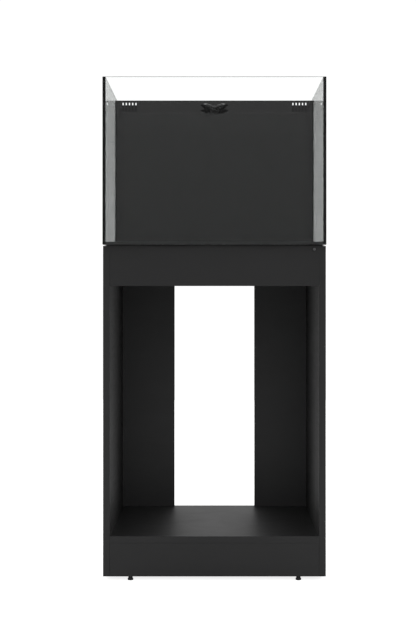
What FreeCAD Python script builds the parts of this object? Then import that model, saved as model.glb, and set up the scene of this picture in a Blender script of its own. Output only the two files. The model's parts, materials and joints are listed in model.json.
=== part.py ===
import FreeCAD, Part
import Sketcher
import math
import os
import re

# Rimless aquarium on an open cabinet stand.
# Frame: +Z up, -Y is the front, origin on the floor under the middle of the object.
# All lengths are millimetres and all angles are degrees.

DIMENSIONS = {
    # tank
    "tank_width": 600, "tank_depth": 550, "tank_height": 450,
    "glass": 8, "bead": 1, "arris": 0.4, "glass_arris": 0.3,
    # rear filter chamber
    "partition_face": 355, "partition_wall": 6, "partition_drop": 12, "partition_seam": 3,
    "comb_width": 3.7, "comb_pitch": 9.46, "comb_height": 27.3, "comb_drop": 6, "comb_edge": 22.9,
    "comb_count": 5, "divider_wall": 5, "divider_place": 110, "divider_gap": 40, "divider_drop": 24,
    # lift-out media baskets
    "basket_width": 80, "basket_depth": 70, "basket_wall": 3, "basket_play": 4, "basket_back_play": 2,
    "shelf_first": 60, "shelf_pitch": 145, "shelf_wall": 4, "shelf_count": 3, "drain_radius": 3,
    "drain_pitch": 14, "drain_columns": 5, "drain_lines": 4,
    "basket_drop": 3, "media_play": 1.5, "block_height": 118, "sponge_height": 30,
    # mat and cabinet
    "mat_wall": 3, "mat_inset": 8,
    "carcass_height": 890, "board": 18, "door_gap": 18, "plinth_height": 90, "rail_height": 90,
    "strip_width": 159, "foot_height": 11, "foot_place": 73.5,
    # hidden fasteners
    "dowel_radius": 4, "dowel_length": 26, "dowel_bite": 11, "cam_radius": 7.5, "cam_depth": 12.5,
    "cam_reach": 34, "cam_bolt_radius": 3.5, "cam_bolt_bite": 11, "fixing_edge": 60, "cam_edge": 110,
    # levelling feet
    "pad_radius": 7.5, "pad_height": 5.6, "pad_round": 1.5, "pad_ease": 0.45, "pad_socket": 2.55,
    "pad_socket_depth": 3,
    "hex_flats": 10, "hex_low": 5.8, "hex_high": 10.8, "stem_radius": 3, "stem_top": 41,
    "stem_tail": 2.5, "stem_tail_drop": 2.8, "insert_radius": 5, "insert_length": 20,
    "insert_bore": 3.05, "clearance_radius": 3.6, "clearance_top": 46,
    # push latch in the top board
    "latch_edge": 31, "latch_radius": 5, "latch_length": 42, "latch_bore": 3.9, "latch_lip": 1,
    "latch_lip_radius": 5.4, "plunger_radius": 3.8, "plunger_ease": 1, "plunger_out": 3.5,
    "plunger_length": 24, "latch_floor": 3, "spring_radius": 2.8, "spring_wire": 0.55,
    "spring_turns": 7, "spring_gap": 0.1,
    # return outlet
    "outlet_drop": 39, "flange_radius": 13, "flange_wall": 4, "gasket_wall": 2, "barrel_radius": 10,
    "barrel_length": 20, "outlet_bore": 6, "outlet_socket": 7, "outlet_socket_depth": 10,
    "outlet_hole": 10.2, "nut_flats": 27, "nut_wall": 6,
    "hub_radius": 8.5, "hub_reach": 22, "stub_radius": 7, "stub_gap": 0.2, "spigot_radius": 5.95,
    "spigot_length": 11, "arm_length": 20, "arm_bore": 2.6, "arm_neck": 3.6, "ball_radius": 6.5,
    "socket_radius": 6.6, "link_radius": 8.6, "link_cut": 3.6, "link_pitch": 13.5,
    "arm_turn": 45, "arm_rise": 6,
    "fan_half_width": 9.5, "fan_half_height": 3, "fan_wall": 1.2, "fan_length": 15.5, "fan_root": 4,
    "fan_root_radius": 7.6, "fan_overcut": 0.1,
    # return tube and elbow
    "elbow_radius": 22, "elbow_pipe": 9, "elbow_bore": 6, "tube_axis": 130, "tube_outer": 11,
    "tube_bore": 8.5, "riser_length": 20, "tube_low": 996, "tube_end_gap": 1, "clamp_wall": 1.6,
    "clamp_height": 9, "clamp_inset": 3, "clamp_ear": 7, "clamp_ear_half": 2.4,
    # return pump
    "pump_axis_height": 42, "motor_radius": 27, "motor_length": 64, "volute_radius": 31,
    "volute_length": 26, "volute_wall": 3, "impeller_room": 25, "rotor_room": 13,
    "rotor_room_length": 54, "motor_rib": 1.5, "motor_rib_width": 3, "motor_rib_edge": 5,
    "motor_ribs": 6, "pump_foot_height": 8, "saddle_gap": 2,
    "base_width": 54, "base_length": 86, "base_wall": 4, "neck_height": 62, "neck_bore": 6,
    "cover_wall": 3, "cage_radius": 24, "cage_length": 16, "cage_wall": 2.5, "cage_slots": 10,
    "cage_slot": 5, "cage_slot_edge": 2, "cage_cut_start": 1, "cage_cut_depth": 6.5,
    "inlet_radius": 9, "shaft_radius": 2, "shaft_length": 68, "shaft_start": 3,
    "rotor_radius": 12, "rotor_length": 48, "rotor_bore": 2.08, "wheel_radius": 22, "wheel_wall": 2,
    "wheel_gap": 3, "vane_height": 12, "vane_wall": 1.6, "vane_root": 4, "vane_hub": 5, "vane_tip": 21,
    "vane_count": 6, "cup_radius": 8, "cup_neck": 3.5, "cup_height": 4.8, "cup_edge": 9,
    "gland_radius": 7, "gland_length": 9, "gland_bore": 3.1, "gland_collar": 4.05,
    "gland_tip_radius": 5.25,
}

# Levels and faces, as formulas of the cells above.
CARCASS_LOW = "foot_height"
CARCASS_TOP = "foot_height + carcass_height"
SIDE_TOP = "foot_height + carcass_height - board"
FLOOR_LOW = "foot_height + plinth_height"
FLOOR_TOP = "foot_height + plinth_height + board"
TANK_LOW = "foot_height + carcass_height + mat_wall"
TANK_TOP = "foot_height + carcass_height + mat_wall + tank_height"
PANE_TOP = "foot_height + carcass_height + mat_wall + glass"
PARTITION_TOP = "foot_height + carcass_height + mat_wall + tank_height - partition_drop"
FRONT = "-tank_depth / 2"
BACK = "tank_depth / 2"
CARCASS_FRONT = "door_gap - tank_depth / 2"
PARTITION_FRONT = "partition_face - tank_depth / 2"
PARTITION_BACK = "partition_face + partition_wall - tank_depth / 2"
INNER_BACK = "tank_depth / 2 - glass - bead"
OUTLET_LEVEL = "foot_height + carcass_height + mat_wall + tank_height - outlet_drop"
PUMP_AXIS = "foot_height + carcass_height + mat_wall + glass + pump_axis_height"
ELBOW_START = "tube_axis - elbow_radius"
ELBOW_LOW = "foot_height + carcass_height + mat_wall + tank_height - outlet_drop - elbow_radius"
LATCH_PLACE = ("tank_width / 2 - latch_edge", CARCASS_FRONT, f"{CARCASS_TOP} - board / 2")
SIDES = {"left": -1, "right": 1}
NEAR = 0.01

doc = FreeCAD.newDocument("aquarium_on_stand")
sheet = doc.addObject("Spreadsheet::Sheet", "Sheet")
for row, (alias, number) in enumerate(DIMENSIONS.items(), start=1):
    sheet.set(f"A{row}", alias)
    sheet.set(f"B{row}", str(number))
    sheet.setAlias(f"B{row}", alias)
doc.recompute()


def formula(text):
    """Turn a formula of cell aliases into one that the document understands."""

    def cell(word):
        return f"Sheet.{word[0]}" if word[0] in DIMENSIONS else word[0]

    return re.sub(r"[a-z]\w+", cell, text)


def value(text):
    """The number that a formula of cell aliases has now."""
    return float(sheet.evalExpression(formula(text)))


def bind(item, target, text):
    item.setExpression(target, formula(str(text)))


def place(item, x=0, y=0, z=0, rotation=None):
    """Put an item's own origin at x, y, z, which are formulas."""
    if rotation is not None:
        item.Placement = FreeCAD.Placement(FreeCAD.Vector(), rotation)
    for axis, text in zip("xyz", (x, y, z)):
        bind(item, f"Placement.Base.{axis}", text)
    return item


ALONG = {
    "x": FreeCAD.Rotation(FreeCAD.Vector(0, 1, 0), 90),
    "y": FreeCAD.Rotation(FreeCAD.Vector(1, 0, 0), -90),
    "z": FreeCAD.Rotation(),
}


def box(name, x, y, z):
    """A block between a low and a high formula on each axis."""
    item = doc.addObject("Part::Box", name)
    item.Label = name
    for size, (low, high) in zip(("Length", "Width", "Height"), (x, y, z)):
        bind(item, size, f"({high}) - ({low})")
    return place(item, x[0], y[0], z[0])


def cylinder(name, radius, height, x=0, y=0, z=0, along="z"):
    """A round bar that starts at x, y, z and runs along one axis."""
    item = doc.addObject("Part::Cylinder", name)
    item.Label = name
    bind(item, "Radius", radius)
    bind(item, "Height", height)
    return place(item, x, y, z, ALONG[along])


def cone(name, low_radius, high_radius, height, x=0, y=0, z=0):
    item = doc.addObject("Part::Cone", name)
    bind(item, "Radius1", low_radius)
    bind(item, "Radius2", high_radius)
    bind(item, "Height", height)
    return place(item, x, y, z)


def sphere(name, radius, x=0, y=0, z=0):
    item = doc.addObject("Part::Sphere", name)
    bind(item, "Radius", radius)
    return place(item, x, y, z)


def fuse(name, items):
    item = doc.addObject("Part::MultiFuse", name)
    item.Label = name
    item.Shapes = items
    return item


def group(name, items):
    item = doc.addObject("Part::Compound", name)
    item.Label = name
    item.Links = items
    return item


def cut(name, base, tools):
    """Take the tools out of the base, and make sure that they took something."""
    tool = tools[0] if len(tools) == 1 else fuse(f"{name}_tools", tools)
    item = doc.addObject("Part::Cut", name)
    item.Label = name
    item.Base = base
    item.Tool = tool
    doc.recompute()
    if item.Shape.Volume >= base.Shape.Volume:
        raise RuntimeError(f"{name}: the cut took nothing away")
    return item


def bevel(name, base, size, wanted, kind="Part::Chamfer"):
    """Break the edges whose middle point is wanted."""
    doc.recompute()
    edges = []
    for index, edge in enumerate(base.Shape.Edges, start=1):
        middle = edge.CenterOfMass
        if wanted(middle):
            edges.append((index, value(size), value(size)))
    item = doc.addObject(kind, name)
    item.Label = name
    item.Base = base
    item.Edges = edges
    doc.recompute()
    return item


def any_edge(middle):
    return True


def near(number, text):
    return abs(number - value(text)) < NEAR


# PartDesign helpers


def new_body(name):
    body = doc.addObject("PartDesign::Body", name)
    body.Label = name
    return body


def origin_plane(body, role):
    return next(item for item in body.Origin.OriginFeatures if item.Role == role)


def new_sketch(body, role, offset=0):
    sketch = body.newObject("Sketcher::SketchObject", f"{body.Name}_sketch")
    sketch.AttachmentSupport = [(origin_plane(body, role), "")]
    sketch.MapMode = "FlatFace"
    bind(sketch, "AttachmentOffset.Base.z", offset)
    doc.recompute()
    return sketch


def pin_point(sketch, geometry, point, x, y):
    """Hold a sketch point at the formulas x and y from the sketch's origin."""
    for kind, text in (("DistanceX", x), ("DistanceY", y)):
        index = sketch.addConstraint(
            Sketcher.Constraint(kind, -1, 1, geometry, point, value(str(text)))
        )
        bind(sketch, f"Constraints[{index}]", text)


def polygon(sketch, corners):
    """A closed outline through corners, which are pairs of formulas."""
    points = [FreeCAD.Vector(value(str(x)), value(str(y)), 0) for x, y in corners]
    first = sketch.GeometryCount
    count = len(points)
    for index in range(count):
        sketch.addGeometry(Part.LineSegment(points[index], points[(index + 1) % count]))
    for index in range(count):
        line = first + index
        following = first + (index + 1) % count
        sketch.addConstraint(Sketcher.Constraint("Coincident", line, 2, following, 1))
    for index, (x, y) in enumerate(corners):
        pin_point(sketch, first + index, 1, x, y)


def rectangle(sketch, x, y):
    polygon(sketch, [(x[0], y[0]), (x[1], y[0]), (x[1], y[1]), (x[0], y[1])])


def circle(sketch, radius, x=0, y=0):
    centre = FreeCAD.Vector(value(str(x)), value(str(y)), 0)
    geometry = sketch.addGeometry(Part.Circle(centre, FreeCAD.Vector(0, 0, 1), value(str(radius))))
    pin_point(sketch, geometry, 3, x, y)
    index = sketch.addConstraint(Sketcher.Constraint("Radius", geometry, value(str(radius))))
    bind(sketch, f"Constraints[{index}]", radius)


def hexagon(sketch, flats):
    """A hexagon about the origin, with two flats square to Y."""
    corner = f"{flats} / sqrt(3)"
    corners = []
    for step in range(6):
        corners.append((f"{corner} * cos({60 * step})", f"{corner} * sin({60 * step})"))
    polygon(sketch, corners)


def pad(body, sketch, length):
    feature = body.newObject("PartDesign::Pad", f"{body.Name}_pad")
    feature.Profile = sketch
    bind(feature, "Length", length)
    sketch.Visibility = False
    doc.recompute()
    return feature


def pocket(body, sketch, depth):
    """Cut a sketch into the body against the sketch's normal."""
    before = body.Shape.Volume
    feature = body.newObject("PartDesign::Pocket", f"{body.Name}_pocket")
    feature.Profile = sketch
    bind(feature, "Length", depth)
    doc.recompute()
    if body.Shape.Volume >= before:
        raise RuntimeError(f"{body.Label}: the pocket took nothing away")
    return feature


def revolution(body, corners):
    """Turn an outline of radius and height pairs about the body's Z axis."""
    sketch = new_sketch(body, "XZ_Plane")
    polygon(sketch, corners)
    feature = body.newObject("PartDesign::Revolution", f"{body.Name}_revolution")
    feature.Profile = sketch
    feature.ReferenceAxis = (sketch, ["V_Axis"])
    feature.Angle = 360
    doc.recompute()
    return feature


def polar(body, feature, count):
    pattern = body.newObject("PartDesign::PolarPattern", f"{body.Name}_pattern")
    pattern.Originals = [feature]
    pattern.Axis = (origin_plane(body, "Z_Axis"), [""])
    pattern.Angle = 360
    bind(pattern, "Occurrences", count)
    body.Tip = pattern
    doc.recompute()
    return pattern


nodes = []


def keep(item):
    """Hand an object in as a node."""
    nodes.append(item)


# Tank: five panes with polished edges, bonded by black silicone


def make_panes():
    inner = "(tank_width / 2 - glass)"
    full_x = ("-tank_width / 2", "tank_width / 2")
    height = (TANK_LOW, TANK_TOP)
    for name, low, high in (
        ("front_pane", FRONT, f"{FRONT} + glass"),
        ("back_pane", f"{BACK} - glass", BACK),
    ):
        blank = box(f"{name}_blank", full_x, (low, high), height)
        keep(bevel(name, blank, "glass_arris", any_edge))
    for side, sign in SIDES.items():
        faces = sorted((f"{sign} * tank_width / 2", f"{sign} * {inner}"), key=value)
        depth = (f"{FRONT} + glass + bead", INNER_BACK)
        blank = box(f"{side}_pane_blank", faces, depth, height)
        keep(bevel(f"{side}_pane", blank, "glass_arris", lambda middle: near(middle.z, TANK_TOP)))
    keep(box(
        "bottom_pane",
        (f"bead - {inner}", f"{inner} - bead"),
        (f"{FRONT} + glass + bead", INNER_BACK),
        (TANK_LOW, PANE_TOP),
    ))


def make_tank_silicone():
    inner = "(tank_width / 2 - glass)"
    for name, low, high in (
        ("front_silicone", f"{FRONT} + glass", f"{FRONT} + glass + bead"),
        ("rear_silicone", INNER_BACK, f"{BACK} - glass"),
    ):
        strips = [box(f"{name}_base", (f"-{inner}", inner), (low, high), (TANK_LOW, PANE_TOP))]
        for side, sign in SIDES.items():
            faces = sorted((f"{sign} * tank_width / 2", f"{sign} * {inner}"), key=value)
            strips.append(box(f"{name}_{side}", faces, (low, high), (TANK_LOW, TANK_TOP)))
        keep(fuse(name, strips))
    strips = []
    for side, sign in SIDES.items():
        faces = sorted((f"{sign} * {inner}", f"{sign} * ({inner} - bead)"), key=value)
        depth = (f"{FRONT} + glass + bead", INNER_BACK)
        strips.append(box(f"base_bead_{side}", faces, depth, (TANK_LOW, PANE_TOP)))
    keep(group("base_silicone", strips))


# Rear filter chamber


def make_partition():
    inner = "(tank_width / 2 - glass)"
    half = f"({inner} - partition_seam)"
    low = f"{PANE_TOP} + partition_seam"
    body = new_body("partition")
    plate = new_sketch(body, "XZ_Plane", f"-({PARTITION_BACK})")
    rectangle(plate, (f"-{half}", half), (low, PARTITION_TOP))
    pad(body, plate, "partition_wall")
    hole = new_sketch(body, "XZ_Plane", f"-({PARTITION_FRONT})")
    circle(hole, "outlet_hole", 0, OUTLET_LEVEL)
    pocket(body, hole, "partition_wall")
    comb = new_sketch(body, "XZ_Plane", f"-({PARTITION_FRONT})")
    top = f"{PARTITION_TOP} - comb_drop"
    for start in (f"comb_edge - {inner}", f"{inner} - comb_edge - (comb_count - 1) * comb_pitch"):
        rectangle(
            comb,
            (f"{start} - comb_width / 2", f"{start} + comb_width / 2"),
            (f"{top} - comb_height", top),
        )
    slots = pocket(body, comb, "partition_wall")
    row = body.newObject("PartDesign::LinearPattern", "partition_combs")
    row.Originals = [slots]
    row.Direction = (comb, ["H_Axis"])
    bind(row, "Length", "(comb_count - 1) * comb_pitch")
    bind(row, "Occurrences", "comb_count")
    body.Tip = row
    keep(body)
    depth = (PARTITION_FRONT, PARTITION_BACK)
    strips = [box("partition_bead_base", (f"-{inner}", inner), depth, (PANE_TOP, low))]
    for side, sign in SIDES.items():
        faces = sorted((f"{sign} * {inner}", f"{sign} * {half}"), key=value)
        strips.append(box(f"partition_bead_{side}", faces, depth, (PANE_TOP, PARTITION_TOP)))
    keep(fuse("partition_silicone", strips))


def make_dividers():
    """Walls beside the pump chamber, raised so that water passes under them."""
    for side, sign in SIDES.items():
        outer = f"{sign} * (divider_place + divider_wall)"
        faces = sorted((f"{sign} * divider_place", outer), key=value)
        keep(box(
            f"{side}_divider",
            faces,
            (PARTITION_BACK, f"{BACK} - glass"),
            (f"{PANE_TOP} + divider_gap", f"{TANK_TOP} - divider_drop"),
        ))


def make_baskets():
    """Three-tier media racks, open towards the combs, that lift straight out."""
    outer = "(tank_width / 2 - glass - basket_play)"
    low_y = f"({PARTITION_BACK} + basket_back_play)"
    inner_y = (low_y, f"{low_y} + basket_depth - basket_wall")
    shelves = int(value("shelf_count"))
    for side, sign in SIDES.items():
        faces = sorted((f"{sign} * {outer}", f"{sign} * ({outer} - basket_width)"), key=value)
        room = (f"{faces[0]} + basket_wall", f"{faces[1]} - basket_wall")
        depth = (low_y, f"{low_y} + basket_depth")
        shell = box(f"{side}_basket_shell", faces, depth, (PANE_TOP, f"{PARTITION_TOP} - basket_drop"))
        levels = [f"{PANE_TOP} + shelf_wall"]
        for shelf in range(shelves):
            levels.append(f"{PANE_TOP} + shelf_first + shelf_wall + {shelf} * shelf_pitch")
        ceilings = [f"{level} - shelf_wall" for level in levels[1:]] + [PARTITION_TOP]
        tools = []
        for tier, height in enumerate(zip(levels, ceilings)):
            tools.append(box(f"{side}_tier_{tier}", room, inner_y, height))
        tools += make_drains(side, room, inner_y)
        keep(cut(f"{side}_media_basket", shell, tools))
        blocks = []
        for shelf in range(1, shelves):
            blocks.append(media(f"{side}_block_{shelf}", room, inner_y, levels[shelf], "block_height"))
        keep(group(f"{side}_ceramic_blocks", blocks))
        foam = media(f"{side}_sponge_blank", room, inner_y, levels[shelves], "sponge_height")
        keep(bevel(f"{side}_filter_sponge", foam, "pad_round", any_edge, "Part::Fillet"))


def make_drains(side, room, inner_y):
    """Upright bars that drill every shelf of a basket in one grid."""
    bars = []
    for column in range(int(value("drain_columns"))):
        for line in range(int(value("drain_lines"))):
            bars.append(cylinder(
                f"{side}_drain_{column}_{line}",
                "drain_radius",
                "shelf_first + (shelf_count - 1) * shelf_pitch + 2 * shelf_wall",
                f"({room[0]} + {room[1]}) / 2 + ({column} - (drain_columns - 1) / 2) * drain_pitch",
                f"({inner_y[0]} + {inner_y[1]}) / 2 + ({line} - (drain_lines - 1) / 2) * drain_pitch",
                f"{PANE_TOP} - shelf_wall / 2",
            ))
    return bars


def media(name, x, y, level, height):
    """A block of filter media that stands on a shelf with play all round."""
    return box(
        name,
        (f"{x[0]} + media_play", f"{x[1]} - media_play"),
        (f"{y[0]} + media_play", f"{y[1]} - media_play"),
        (level, f"{level} + {height}"),
    )


# Return outlet: bulkhead, turning Y fitting, ball links and fan nozzles


def make_bulkhead():
    start = f"{PARTITION_FRONT} - gasket_wall - flange_wall"
    body = new_body("bulkhead")
    length = "(flange_wall + barrel_length)"
    revolution(body, [
        ("outlet_bore", 0), ("flange_radius", 0), ("flange_radius", "flange_wall"),
        ("barrel_radius", "flange_wall"), ("barrel_radius", length), ("outlet_socket", length),
        ("outlet_socket", f"{length} - outlet_socket_depth"),
        ("outlet_bore", f"{length} - outlet_socket_depth"),
    ])
    keep(place(body, 0, start, OUTLET_LEVEL, ALONG["y"]))

    gasket = new_body("bulkhead_gasket")
    revolution(gasket, [
        ("barrel_radius", 0), ("flange_radius", 0),
        ("flange_radius", "gasket_wall"), ("barrel_radius", "gasket_wall"),
    ])
    keep(place(gasket, 0, f"{PARTITION_FRONT} - gasket_wall", OUTLET_LEVEL, ALONG["y"]))

    nut = new_body("bulkhead_nut")
    outline = new_sketch(nut, "XY_Plane")
    hexagon(outline, "nut_flats")
    circle(outline, "barrel_radius")
    pad(nut, outline, "nut_wall")
    keep(place(nut, 0, PARTITION_BACK, OUTLET_LEVEL, ALONG["y"]))


def arm_direction(sign):
    turn = math.radians(value("arm_turn"))
    rise = math.radians(value("arm_rise"))
    level = math.cos(rise)
    return FreeCAD.Vector(sign * math.sin(turn) * level, -math.cos(turn) * level, math.sin(rise))


def arm_rotation(sign):
    """Local Z runs along an arm, and local X stays level."""
    turn = math.radians(value("arm_turn"))
    across = FreeCAD.Vector(math.cos(turn), sign * math.sin(turn), 0)
    along = arm_direction(sign)
    upright = along.cross(across)
    return FreeCAD.Rotation(across, upright, along, "ZXY")


def hub_centre():
    return FreeCAD.Vector(0, value(f"{PARTITION_FRONT} - hub_reach"), value(OUTLET_LEVEL))


def level_bar(name, radius, start, end):
    """A round bar at the outlet's level, between two formulas along Y."""
    return cylinder(name, radius, f"{end} - ({start})", 0, start, OUTLET_LEVEL, "y")


def make_manifold():
    """Y fitting: a spigot that turns in the bulkhead, a round hub and two ball-ended arms."""
    hub_y = f"{PARTITION_FRONT} - hub_reach"
    face_y = f"({PARTITION_FRONT} - gasket_wall - flange_wall - stub_gap)"
    solids = [
        sphere("hub_ball", "hub_radius", 0, hub_y, OUTLET_LEVEL),
        level_bar("hub_stub", "stub_radius", hub_y, face_y),
        level_bar("hub_spigot", "spigot_radius", hub_y, f"{face_y} + spigot_length"),
    ]
    bores = [level_bar("hub_bore", "arm_neck", hub_y, f"{face_y} + spigot_length + stub_gap")]
    for side, sign in SIDES.items():
        spin = FreeCAD.Rotation(FreeCAD.Vector(0, 0, 1), arm_direction(sign))
        centre = hub_centre()
        arm = fuse(f"{side}_arm", [
            cylinder(f"{side}_arm_rod", "arm_neck", "arm_length"),
            sphere(f"{side}_arm_ball", "ball_radius", 0, 0, "arm_length"),
        ])
        bore = group(f"{side}_arm_bore", [
            cylinder(f"{side}_arm_passage", "arm_bore", "arm_length + ball_radius"),
        ])
        for item, items in ((arm, solids), (bore, bores)):
            item.Placement = FreeCAD.Placement(centre, spin)
            items.append(item)
    keep(cut("y_manifold", fuse("y_manifold_outer", solids), bores))


def socket_tools(name):
    """The round seat for a ball, and the open back that lets its neck swing."""
    reach = "2 * link_radius"
    seat = sphere(f"{name}_seat", "socket_radius")
    back = box(f"{name}_back", (f"-{reach}", reach), (f"-{reach}", reach), (f"-{reach}", "-link_cut"))
    return [seat, back]


def make_links():
    """Ball links on the arms, and the flat fan nozzles that they carry."""
    for side, sign in SIDES.items():
        spin = arm_rotation(sign)
        along = arm_direction(sign)
        first = hub_centre() + along * value("arm_length")
        second = first + along * value("link_pitch")

        name = f"{side}_ball_link"
        outer = fuse(f"{name}_outer", [
            sphere(f"{name}_bead", "link_radius"),
            cylinder(f"{name}_neck", "arm_neck", "link_pitch"),
            sphere(f"{name}_ball", "ball_radius", 0, 0, "link_pitch"),
        ])
        bore = cylinder(f"{name}_bore", "arm_bore", "link_pitch + ball_radius")
        link = cut(name, outer, socket_tools(name) + [bore])
        link.Placement = FreeCAD.Placement(first, spin)
        keep(link)

        name = f"{side}_fan_nozzle"
        skin = flare(f"{name}_skin", "fan_root_radius", "0", "0")
        hollow = flare(f"{name}_hollow", "arm_neck", "fan_wall", "fan_overcut")
        outer = fuse(f"{name}_outer", [sphere(f"{name}_bead", "link_radius"), skin])
        nozzle = cut(name, outer, socket_tools(name) + [hollow])
        nozzle.Placement = FreeCAD.Placement(second, spin)
        keep(nozzle)


def flare(name, root_radius, wall, past):
    """A passage from a round root to a flat oval mouth."""
    root = doc.addObject("Part::Ellipse", f"{name}_root")
    bind(root, "MajorRadius", root_radius)
    bind(root, "MinorRadius", root_radius)
    place(root, 0, 0, "fan_root")
    mouth = doc.addObject("Part::Ellipse", f"{name}_mouth")
    bind(mouth, "MajorRadius", f"fan_half_width - {wall}")
    bind(mouth, "MinorRadius", f"fan_half_height - {wall}")
    place(mouth, 0, 0, f"fan_length + {past}")
    loft = doc.addObject("Part::Loft", name)
    loft.Sections = [root, mouth]
    loft.Solid = True
    return loft


# Return line behind the partition


def quarter_bend(name, radius):
    """A quarter ring from a riser on the Y side to a level run towards the partition."""
    item = doc.addObject("Part::Torus", name)
    bind(item, "Radius1", "elbow_radius")
    bind(item, "Radius2", radius)
    item.Angle3 = 90
    spin = FreeCAD.Rotation(FreeCAD.Vector(1, 1, 1), 120)
    return place(item, 0, ELBOW_START, ELBOW_LOW, spin)


def make_return_line():
    barrel_end = f"({PARTITION_FRONT} - gasket_wall + barrel_length)"
    socket_start = f"({barrel_end} - outlet_socket_depth)"
    riser_low = f"{ELBOW_LOW} - riser_length"
    outer = fuse("return_elbow_outer", [
        quarter_bend("elbow_skin", "elbow_pipe"),
        level_bar("elbow_level", "elbow_pipe", barrel_end, ELBOW_START),
        level_bar("elbow_plug", "outlet_socket", socket_start, ELBOW_START),
        cylinder("elbow_riser", "tube_bore", "riser_length", 0, "tube_axis", riser_low),
    ])
    bores = [
        quarter_bend("elbow_core", "elbow_bore"),
        level_bar("elbow_level_bore", "elbow_bore", socket_start, ELBOW_START),
        cylinder("elbow_riser_bore", "elbow_bore", "riser_length", 0, "tube_axis", riser_low),
    ]
    keep(cut("return_elbow", outer, bores))

    tube_top = f"({ELBOW_LOW} - tube_end_gap)"
    length = f"{tube_top} - tube_low"
    skin = cylinder("return_tube_skin", "tube_outer", length, 0, "tube_axis", "tube_low")
    core = cylinder("return_tube_core", "tube_bore", length, 0, "tube_axis", "tube_low")
    keep(cut("return_tube", skin, [core]))

    clamps = []
    high_clamp = f"{tube_top} - clamp_inset - clamp_height"
    for end, level in (("low", "tube_low + clamp_inset"), ("high", high_clamp)):
        outer = "tube_outer + clamp_wall"
        band = cylinder(f"clamp_band_{end}", outer, "clamp_height", 0, "tube_axis", level)
        ear = box(
            f"clamp_ear_{end}",
            ("tube_outer", f"{outer} + clamp_ear"),
            ("tube_axis - clamp_ear_half", "tube_axis + clamp_ear_half"),
            (level, f"{level} + clamp_height"),
        )
        hole = cylinder(f"clamp_hole_{end}", "tube_outer", "clamp_height", 0, "tube_axis", level)
        clamps.append(cut(f"tube_clamp_{end}", fuse(f"clamp_outer_{end}", [band, ear]), [hole]))
    keep(group("tube_clamps", clamps))


# Return pump


def pump_bar(name, radius, length, start):
    """A round bar on the pump's axis, from a formula along Y."""
    return cylinder(name, radius, length, 0, start, PUMP_AXIS, "y")


def make_pump_housing():
    volute_y = "(tube_axis - volute_length / 2)"
    motor_y = "(tube_axis + volute_length / 2)"
    motor_end = f"({motor_y} + motor_length)"
    base_low = f"({PANE_TOP} + pump_foot_height)"
    solids = [
        pump_bar("volute_drum", "volute_radius", "volute_length", volute_y),
        pump_bar("motor_drum", "motor_radius", "motor_length", motor_y),
        cylinder("outlet_neck", "tube_bore", "neck_height", 0, "tube_axis", PUMP_AXIS),
        box(
            "pump_base",
            ("-base_width / 2", "base_width / 2"),
            (volute_y, f"{volute_y} + base_length"),
            (base_low, f"{base_low} + base_wall"),
        ),
        box(
            "pump_saddle",
            ("-base_width / 4", "base_width / 4"),
            (volute_y, motor_end),
            (f"{base_low} + base_wall / 2", f"{PUMP_AXIS} - rotor_room - saddle_gap"),
        ),
    ]
    rib_pitch = "(motor_length - 2 * motor_rib_edge) / motor_ribs"
    for rib in range(int(value("motor_ribs"))):
        rib_y = f"{motor_y} + motor_rib_edge + {rib} * {rib_pitch}"
        solids.append(pump_bar(f"motor_rib_{rib}", "motor_radius + motor_rib", "motor_rib_width", rib_y))
    rooms = [
        pump_bar("impeller_room", "impeller_room", "volute_length - volute_wall", volute_y),
        pump_bar("rotor_room", "rotor_room", "rotor_room_length", f"{motor_y} - volute_wall"),
        cylinder("outlet_passage", "neck_bore", "neck_height", 0, "tube_axis", PUMP_AXIS),
        pump_bar("shaft_seat", "shaft_radius", "shaft_length", f"{volute_y} + shaft_start"),
    ]
    keep(cut("pump_housing", fuse("pump_housing_outer", solids), rooms))

    gland = new_body("pump_cord_gland")
    revolution(gland, [
        ("gland_bore", 0), ("gland_radius", 0), ("gland_radius", "gland_collar"),
        ("gland_tip_radius", "gland_length"), ("gland_bore", "gland_length"),
    ])
    keep(place(gland, 0, motor_end, f"{PUMP_AXIS} + motor_radius / 2", ALONG["y"]))


def make_pump_cover():
    """Intake cover: a face plate with a round inlet inside a slotted cage."""
    body = new_body("pump_intake_cover")
    plate = new_sketch(body, "XY_Plane")
    circle(plate, "volute_radius")
    circle(plate, "inlet_radius")
    pad(body, plate, "cover_wall")
    ring = new_sketch(body, "XY_Plane", "cover_wall")
    circle(ring, "cage_radius")
    circle(ring, "cage_radius - cage_wall")
    pad(body, ring, "cage_length")
    lid = new_sketch(body, "XY_Plane", "cover_wall + cage_length - cage_wall")
    circle(lid, "cage_radius - cage_wall / 2")
    pad(body, lid, "cage_wall")
    slot = new_sketch(body, "XZ_Plane", "cage_radius + cage_cut_start")
    rectangle(
        slot,
        ("-cage_slot / 2", "cage_slot / 2"),
        ("cover_wall + cage_slot_edge", "cover_wall + cage_length - cage_wall - cage_slot_edge"),
    )
    opening = pocket(body, slot, "cage_cut_depth")
    polar(body, opening, "cage_slots")
    front = "tube_axis - volute_length / 2"
    keep(place(body, 0, front, PUMP_AXIS, FreeCAD.Rotation(FreeCAD.Vector(1, 0, 0), 90)))


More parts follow.
